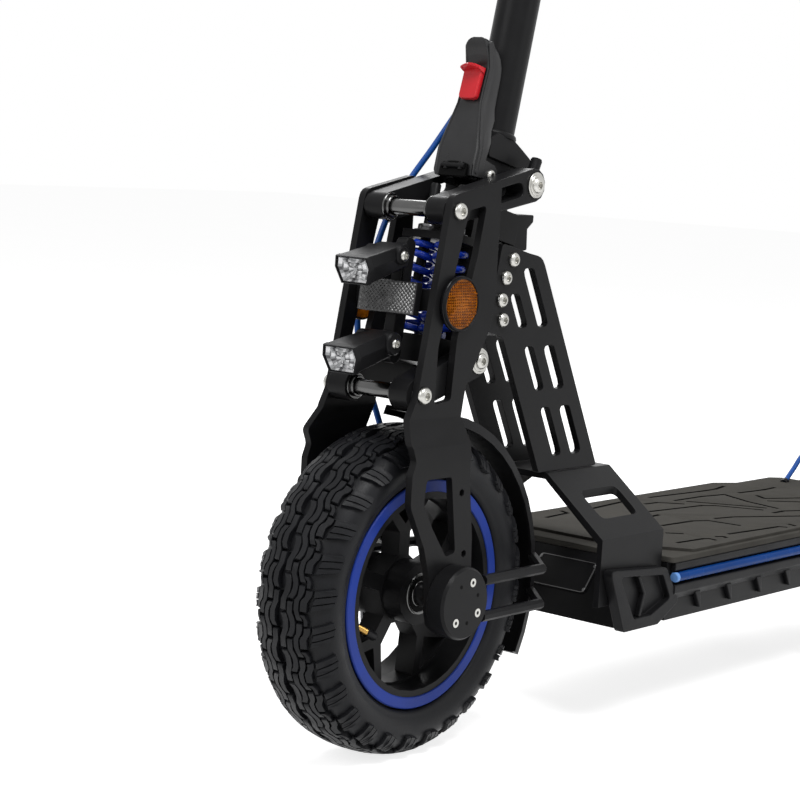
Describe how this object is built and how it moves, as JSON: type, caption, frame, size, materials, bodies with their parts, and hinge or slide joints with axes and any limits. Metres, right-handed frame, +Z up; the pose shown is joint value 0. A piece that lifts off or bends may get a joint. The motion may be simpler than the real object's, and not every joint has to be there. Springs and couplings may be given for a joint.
{
  "type": "electric kick scooter",
  "caption": "Folding electric kick scooter with a linkage-sprung front fork, slotted neck plates, flat deck, hub-motor rear wheel, latch lever and handlebar controls.",
  "frame": {"origin": "On the ground, under the middle of the scooter's length and width.", "axes": "+X forwards, +Y to the rider's left, +Z up."},
  "size_m": [1.2026, 0.6, 1.1796],
  "materials": {
    "black_metal": "satin black coating",
    "bright_steel": "bright turned",
    "alloy": "dark anodised",
    "tyre": "moulded rubber",
    "grip_rubber": "moulded rubber",
    "black_plastic": "fine grain",
    "blue_paint": "gloss paint",
    "blue_cable": "smooth sheath",
    "light_tube": "translucent",
    "amber_lens": "prismatic",
    "clear_lens": "clear, faceted",
    "red_plastic": "smooth",
    "battery_wrap": "shrink wrap"
  },
  "bodies": {
    "chassis": {"head_block": "black_metal", "headset_bush": "alloy", "neck_plate_left": "black_metal", "neck_plate_right": "black_metal", "deck_yoke": "black_metal", "deck_tray": "black_metal", "deck_lid": "black_metal", "battery_pack": "battery_wrap", "motor_controller": "alloy", "corner_cap_left": "black_plastic", "corner_cap_right": "black_plastic", "light_tube_left": "light_tube", "light_tube_right": "light_tube", "rear_frame": "black_metal", "rear_axle": "alloy", "rear_mudguard": "black_plastic", "tail_light": "red_plastic", "rear_brake_cable": "blue_cable"},
    "steering": {"steering_column": "black_metal", "fold_pin": "bright_steel", "lower_link_pin": "bright_steel", "spring_left": "blue_paint", "spring_right": "blue_paint", "front_brake_cable": "blue_cable"},
    "upper_link": {"upper_link_left": "black_metal", "upper_link_right": "black_metal"},
    "lower_link": {"lower_link": "black_metal"},
    "fork": {"fork_plate_left": "black_metal", "fork_plate_right": "black_metal", "upper_shaft": "bright_steel", "lower_shaft": "bright_steel", "side_reflector_left": "amber_lens", "side_reflector_right": "amber_lens", "lamp_bracket": "black_metal", "headlight_upper": "black_plastic", "headlight_upper_lens": "clear_lens", "headlight_lower": "black_plastic", "headlight_lower_lens": "clear_lens", "front_reflector": "clear_lens", "front_axle": "alloy", "hub_cover_left": "black_metal", "hub_cover_right": "black_metal", "front_mudguard": "black_plastic", "front_caliper": "black_metal"},
    "front_wheel": {"front_tyre": "tyre", "front_rim": "black_metal", "front_rotor": "bright_steel"},
    "stem": {"stem": "black_metal", "handlebar": "black_metal", "grip_left": "grip_rubber", "grip_right": "grip_rubber", "display": "black_plastic"},
    "latch_lever": {"latch_lever": "black_plastic"},
    "latch_button": {"latch_button": "red_plastic"},
    "brake_lever_left": {"brake_lever_left": "alloy"},
    "brake_lever_right": {"brake_lever_right": "alloy"},
    "throttle": {"throttle_paddle": "black_plastic"},
    "rear_wheel": {"rear_tyre": "tyre", "rear_hub_motor": "black_metal"},
    "kick_stand": {"kick_stand": "black_metal"}
  },
  "joints": [
    {"name": "steering", "type": "hinge", "parent": "chassis", "child": "steering", "pos_m": [0.41738, 0, 0.32576], "axis": [-0.2164, 0, 0.9763], "range_deg": [-40, 40]},
    {"name": "front_suspension", "type": "hinge", "parent": "steering", "child": "lower_link", "pos_m": [0.43437, 0, 0.30389], "axis": [0, -1, 0], "range_deg": [0, 18], "stiffness_Nm_per_rad": 140, "springref_deg": -8.59, "deforming": ["spring_left", "spring_right", "front_brake_cable"]},
    {"name": "fork_pivot", "type": "hinge", "parent": "lower_link", "child": "fork", "pos_m": [0.50636, 0, 0.28189], "axis": [0, -1, 0], "range_deg": [-18, 0]},
    {"name": "upper_link_pivot", "type": "hinge", "parent": "steering", "child": "upper_link", "pos_m": [0.37637, 0, 0.43789], "axis": [0, -1, 0], "range_deg": [0, 13]},
    {"name": "front_wheel_spin", "type": "hinge", "parent": "fork", "child": "front_wheel", "pos_m": [0.47436, 0, 0.12689], "axis": [0, 1, 0], "continuous": true},
    {"name": "stem_fold", "type": "hinge", "parent": "steering", "child": "stem", "pos_m": [0.37637, 0, 0.43789], "axis": [0, -1, 0], "range_deg": [0, 85], "deforming": ["front_brake_cable"]},
    {"name": "latch_lever_swing", "type": "hinge", "parent": "stem", "child": "latch_lever", "pos_m": [0.41027, 0, 0.44331], "axis": [0, 1, 0], "range_deg": [0, 60]},
    {"name": "latch_button_press", "type": "slide", "parent": "latch_lever", "child": "latch_button", "axis": [0.2815, 0, -0.9596], "range_m": [0, 0.005], "stiffness_N_per_m": 400, "springref_m": -0.003},
    {"name": "brake_lever_left_pull", "type": "hinge", "parent": "stem", "child": "brake_lever_left", "pos_m": [0.2752, 0.161, 1.14265], "axis": [-0.2164, 0, 0.9763], "range_deg": [0, 15], "stiffness_Nm_per_rad": 2, "springref_deg": -8.59},
    {"name": "brake_lever_right_pull", "type": "hinge", "parent": "stem", "child": "brake_lever_right", "pos_m": [0.2752, -0.161, 1.14265], "axis": [0.2164, 0, -0.9763], "range_deg": [0, 15], "stiffness_Nm_per_rad": 2, "springref_deg": -8.59},
    {"name": "throttle_press", "type": "hinge", "parent": "stem", "child": "throttle", "pos_m": [0.2381, -0.128, 1.13442], "axis": [0, -1, 0], "range_deg": [0, 35], "stiffness_Nm_per_rad": 0.6, "springref_deg": -11.46},
    {"name": "rear_wheel_spin", "type": "hinge", "parent": "chassis", "child": "rear_wheel", "pos_m": [-0.45564, 0, 0.12689], "axis": [0, 1, 0], "continuous": true},
    {"name": "kick_stand_swing", "type": "hinge", "parent": "chassis", "child": "kick_stand", "pos_m": [-0.08564, 0, 0.07389], "axis": [0, 1, 0], "range_deg": [0, 115]}
  ],
  "couplings": [
    {"joint": "fork_pivot", "follows": "front_suspension", "ratio": -0.96906},
    {"joint": "upper_link_pivot", "follows": "front_suspension", "ratio": 0.71771}
  ]
}
